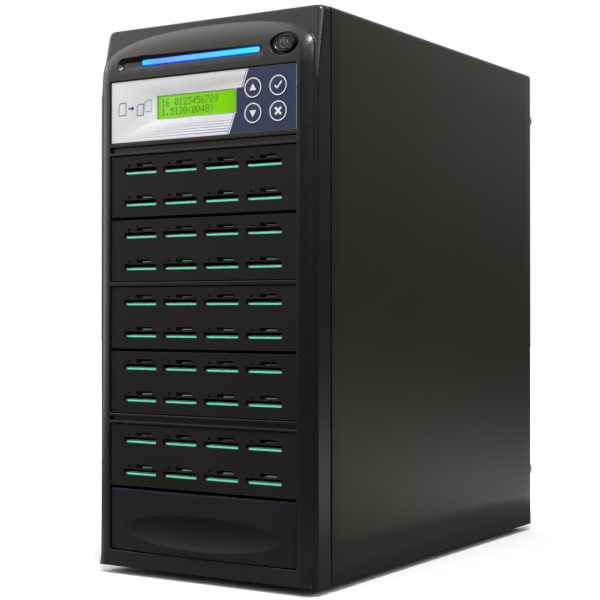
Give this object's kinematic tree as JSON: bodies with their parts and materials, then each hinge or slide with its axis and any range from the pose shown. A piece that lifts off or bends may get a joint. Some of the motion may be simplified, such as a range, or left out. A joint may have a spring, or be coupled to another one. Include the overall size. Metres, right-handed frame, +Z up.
{
  "type": "memory card duplicator",
  "caption": "Tower that copies one memory card to many: steel case, moulded front with light bar, display and keys, and rows of card slots.",
  "frame": {"origin": "under the middle of the object, on the plane its feet stand on", "axes": "+X to the viewer's right, -Y out of the front, +Z up"},
  "size_m": [0.174, 0.3414, 0.3682],
  "materials": {
    "case_steel": "fine satin texture, brown-black",
    "bare_steel": "zinc-plated sheet",
    "rubber": "matt",
    "front_plastic": "fine moulded grain, satin",
    "reader_plastic": "fine moulded grain",
    "cover_plastic": "fine moulded grain, blue-black",
    "button_plastic": "satin gloss",
    "light": "clear light guide, lit blue",
    "film": "printed film, white and navy",
    "key_film": "printed film, navy with a white ring",
    "display": "lit yellow-green liquid crystal window",
    "board": "green solder mask",
    "dark_board": "dark green solder mask",
    "ribbon": "grey ribbon",
    "fan_plastic": "black moulding",
    "screw_steel": "nickel plated"
  },
  "bodies": {
    "case": {"bay_wall_left": "bare_steel", "bay_wall_right": "bare_steel", "chassis_base": "bare_steel", "control_faceplate": "reader_plastic", "control_overlay": "film", "control_tray": "bare_steel", "controller_board": "dark_board", "cover": "case_steel", "display_glass": "display", "display_module": "dark_board", "foot_front_left": "rubber", "foot_front_right": "rubber", "foot_rear_left": "rubber", "foot_rear_right": "rubber", "front_bezel": "front_plastic", "front_frame": "bare_steel", "keypad_board": "dark_board", "light_bar": "light", "light_board": "board", "power_switch": "fan_plastic", "psu_board": "dark_board", "psu_case": "bare_steel", "psu_fan_frame": "fan_plastic", "psu_inlet": "fan_plastic", "reader_faceplate_1": "reader_plastic", "reader_faceplate_2": "reader_plastic", "reader_faceplate_3": "reader_plastic", "reader_faceplate_4": "reader_plastic", "reader_faceplate_5": "reader_plastic", "reader_lower_board_1": "board", "reader_lower_board_2": "board", "reader_lower_board_3": "board", "reader_lower_board_4": "board", "reader_lower_board_5": "board", "reader_tray_1": "bare_steel", "reader_tray_2": "bare_steel", "reader_tray_3": "bare_steel", "reader_tray_4": "bare_steel", "reader_tray_5": "bare_steel", "reader_upper_board_1": "board", "reader_upper_board_2": "board", "reader_upper_board_3": "board", "reader_upper_board_4": "board", "reader_upper_board_5": "board", "rear_fan_frame": "fan_plastic", "rear_panel": "bare_steel", "ribbon_cable": "ribbon", "thumbscrew_1": "screw_steel", "thumbscrew_2": "screw_steel", "thumbscrew_3": "screw_steel", "thumbscrew_4": "screw_steel"},
    "power_button": {"power_button": "button_plastic"},
    "key_up": {"key_up": "key_film"},
    "key_down": {"key_down": "key_film"},
    "key_enter": {"key_enter": "key_film"},
    "key_cancel": {"key_cancel": "key_film"},
    "lower_cover": {"lower_cover": "cover_plastic"},
    "psu_switch": {"psu_switch": "button_plastic"},
    "rear_fan_rotor": {"rear_fan_rotor": "fan_plastic"},
    "psu_fan_rotor": {"psu_fan_rotor": "fan_plastic"}
  },
  "joints": [
    {"name": "power_button_press", "type": "slide", "parent": "case", "child": "power_button", "axis": [0, 1, 0], "range_m": [0, 0.003], "stiffness_N_per_m": 300, "springref_m": -0.002},
    {"name": "key_up_press", "type": "slide", "parent": "case", "child": "key_up", "axis": [0, 1, 0], "range_m": [0, 0.0006], "stiffness_N_per_m": 1000, "springref_m": -0.0006},
    {"name": "key_down_press", "type": "slide", "parent": "case", "child": "key_down", "axis": [0, 1, 0], "range_m": [0, 0.0006], "stiffness_N_per_m": 1000, "springref_m": -0.0006},
    {"name": "key_enter_press", "type": "slide", "parent": "case", "child": "key_enter", "axis": [0, 1, 0], "range_m": [0, 0.0006], "stiffness_N_per_m": 1000, "springref_m": -0.0006},
    {"name": "key_cancel_press", "type": "slide", "parent": "case", "child": "key_cancel", "axis": [0, 1, 0], "range_m": [0, 0.0006], "stiffness_N_per_m": 1000, "springref_m": -0.0006},
    {"name": "lower_cover_pull", "type": "slide", "parent": "case", "child": "lower_cover", "axis": [0, -1, 0], "range_m": [0, 0.01]},
    {"name": "psu_switch_rock", "type": "hinge", "parent": "case", "child": "psu_switch", "pos_m": [0.0515, 0.15955, 0.332], "axis": [1, 0, 0], "range_deg": [-16, 0]},
    {"name": "rear_fan_spin", "type": "hinge", "parent": "case", "child": "rear_fan_rotor", "pos_m": [0, 0.14825, 0.205], "axis": [0, 1, 0], "continuous": true},
    {"name": "psu_fan_spin", "type": "hinge", "parent": "case", "child": "psu_fan_rotor", "pos_m": [-0.0295, 0.14695, 0.3202], "axis": [0, 1, 0], "continuous": true}
  ]
}
